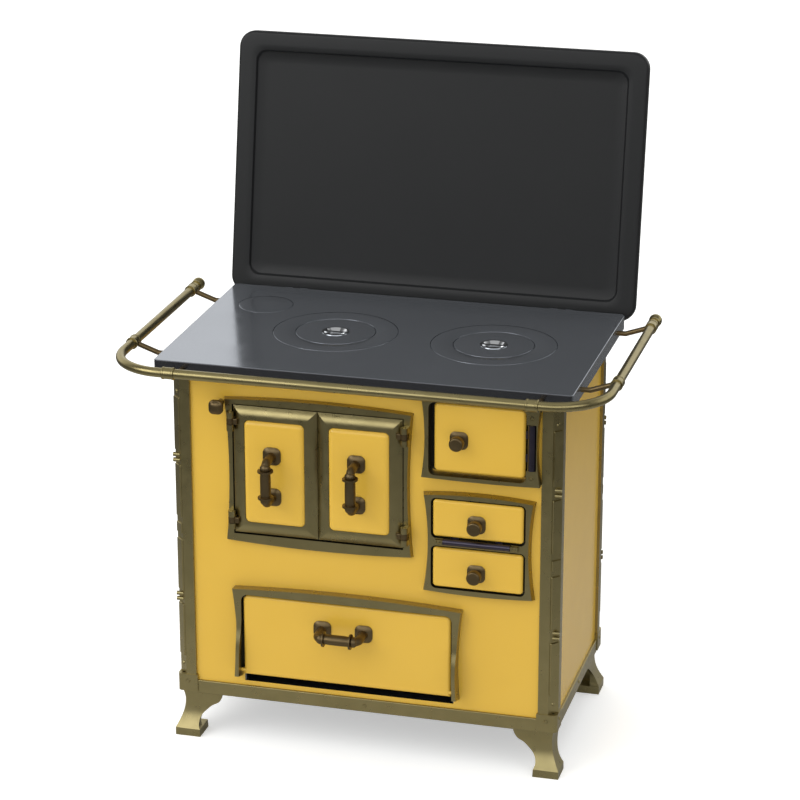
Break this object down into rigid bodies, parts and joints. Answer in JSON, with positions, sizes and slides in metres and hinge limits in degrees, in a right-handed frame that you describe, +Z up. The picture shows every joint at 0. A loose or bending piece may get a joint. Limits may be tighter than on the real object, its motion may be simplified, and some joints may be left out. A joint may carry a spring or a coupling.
{
  "type": "wood cookstove",
  "caption": "Wood cookstove: yellow enamelled cabinet on cast legs, oven and firebox doors, ash drawer, wood bin, steel hob with lift-out rings, hinged lid and brass towel rail.",
  "frame": {"origin": "on the floor under the middle of the whole stove, rail and open lid included", "axes": "+Z up, the front with its doors faces -Y, +X to the right seen from the front"},
  "size_m": [1.0559, 0.7839, 1.4074],
  "materials": {
    "antiqued_brass": "satin antiqued brass plating",
    "antiqued_brass_screws": "satin antiqued brass",
    "blued_steel": "blued steel",
    "cast_iron": "raw cast iron",
    "charcoal_enamel": "satin charcoal enamel",
    "chrome": "polished",
    "hob_steel": "polished grey steel",
    "sheet_steel": "plain sheet steel",
    "yellow_enamel": "glossy vitreous enamel"
  },
  "bodies": {
    "cabinet": {"ash_frame": "antiqued_brass", "ash_pit": "sheet_steel", "back_panel": "sheet_steel", "base_trim_front": "antiqued_brass", "base_trim_rear": "antiqued_brass", "base_trim_sides": "antiqued_brass", "bottom_panel": "sheet_steel", "cooktop_plate": "hob_steel", "damper_bush": "antiqued_brass", "dome_screws": "antiqued_brass_screws", "firebox_frame": "antiqued_brass", "firebox_liner": "cast_iron", "flue_box": "sheet_steel", "front_panel": "yellow_enamel", "grate": "cast_iron", "leg_front_left": "antiqued_brass", "leg_front_right": "antiqued_brass", "leg_rear_left": "antiqued_brass", "leg_rear_right": "antiqued_brass", "oven_box": "sheet_steel", "oven_frame": "antiqued_brass", "oven_shelf": "sheet_steel", "post_front_left": "antiqued_brass", "post_front_right": "antiqued_brass", "post_rear_left": "antiqued_brass", "post_rear_right": "antiqued_brass", "rail_clamps": "antiqued_brass", "rail_finials": "antiqued_brass", "rail_rods": "antiqued_brass", "side_panel_left": "yellow_enamel", "side_panel_right": "yellow_enamel", "towel_rail": "antiqued_brass", "wood_bin": "sheet_steel", "wood_frame": "antiqued_brass"},
    "lid": {"lid": "charcoal_enamel"},
    "burner_ring_left": {"burner_ring_left": "hob_steel"},
    "burner_disc_left": {"burner_disc_left": "hob_steel", "lifter_cup_left": "chrome"},
    "burner_ring_right": {"burner_ring_right": "hob_steel"},
    "burner_disc_right": {"burner_disc_right": "hob_steel", "lifter_cup_right": "chrome"},
    "flue_cover": {"flue_cover": "hob_steel"},
    "oven_door_left": {"oven_door_left": "antiqued_brass", "oven_inset_left": "yellow_enamel", "oven_handle_left": "antiqued_brass"},
    "oven_door_right": {"oven_door_right": "antiqued_brass", "oven_inset_right": "yellow_enamel", "oven_handle_right": "antiqued_brass"},
    "firebox_door": {"firebox_door": "yellow_enamel", "firebox_barrel": "blued_steel", "firebox_knob": "antiqued_brass"},
    "ash_flap": {"ash_flap": "yellow_enamel", "ash_hinge_bar": "blued_steel", "ash_flap_knob": "antiqued_brass"},
    "ash_drawer": {"ash_drawer": "yellow_enamel", "ash_drawer_knob": "antiqued_brass"},
    "wood_flap": {"wood_flap": "yellow_enamel", "wood_handle": "antiqued_brass"},
    "damper": {"damper": "sheet_steel", "damper_knob": "antiqued_brass"}
  },
  "joints": [
    {"name": "lid_hinge", "type": "hinge", "parent": "cabinet", "child": "lid", "pos_m": [0, 0.26362, 0.853], "axis": [-1, 0, 0], "range_deg": [-100, 0]},
    {"name": "oven_door_left_hinge", "type": "hinge", "parent": "cabinet", "child": "oven_door_left", "pos_m": [-0.2806, -0.27938, 0.625], "axis": [0, 0, -1], "range_deg": [0, 90]},
    {"name": "oven_door_right_hinge", "type": "hinge", "parent": "cabinet", "child": "oven_door_right", "pos_m": [0.091, -0.27938, 0.625], "axis": [0, 0, 1], "range_deg": [0, 100]},
    {"name": "firebox_door_hinge", "type": "hinge", "parent": "cabinet", "child": "firebox_door", "pos_m": [0.356, -0.27638, 0.7365], "axis": [0, 0, 1], "range_deg": [0, 100]},
    {"name": "ash_flap_hinge", "type": "hinge", "parent": "cabinet", "child": "ash_flap", "pos_m": [0.2425, -0.27338, 0.5125], "axis": [1, 0, 0], "range_deg": [0, 90]},
    {"name": "ash_drawer_slide", "type": "slide", "parent": "cabinet", "child": "ash_drawer", "axis": [0, 1, 0], "range_m": [-0.25, 0]},
    {"name": "wood_flap_hinge", "type": "hinge", "parent": "cabinet", "child": "wood_flap", "pos_m": [-0.037, -0.26838, 0.172], "axis": [1, 0, 0], "range_deg": [0, 90]},
    {"name": "damper_pull", "type": "slide", "parent": "cabinet", "child": "damper", "axis": [0, -1, 0], "range_m": [0, 0.06]},
    {"name": "burner_ring_left_lift", "type": "slide", "parent": "cabinet", "child": "burner_ring_left", "axis": [0, 0, 1], "range_m": [0, 0.05]},
    {"name": "burner_disc_left_lift", "type": "slide", "parent": "burner_ring_left", "child": "burner_disc_left", "axis": [0, 0, 1], "range_m": [0, 0.04]},
    {"name": "burner_ring_right_lift", "type": "slide", "parent": "cabinet", "child": "burner_ring_right", "axis": [0, 0, 1], "range_m": [0, 0.05]},
    {"name": "burner_disc_right_lift", "type": "slide", "parent": "burner_ring_right", "child": "burner_disc_right", "axis": [0, 0, 1], "range_m": [0, 0.04]},
    {"name": "flue_cover_lift", "type": "slide", "parent": "cabinet", "child": "flue_cover", "axis": [0, 0, 1], "range_m": [0, 0.04]}
  ]
}
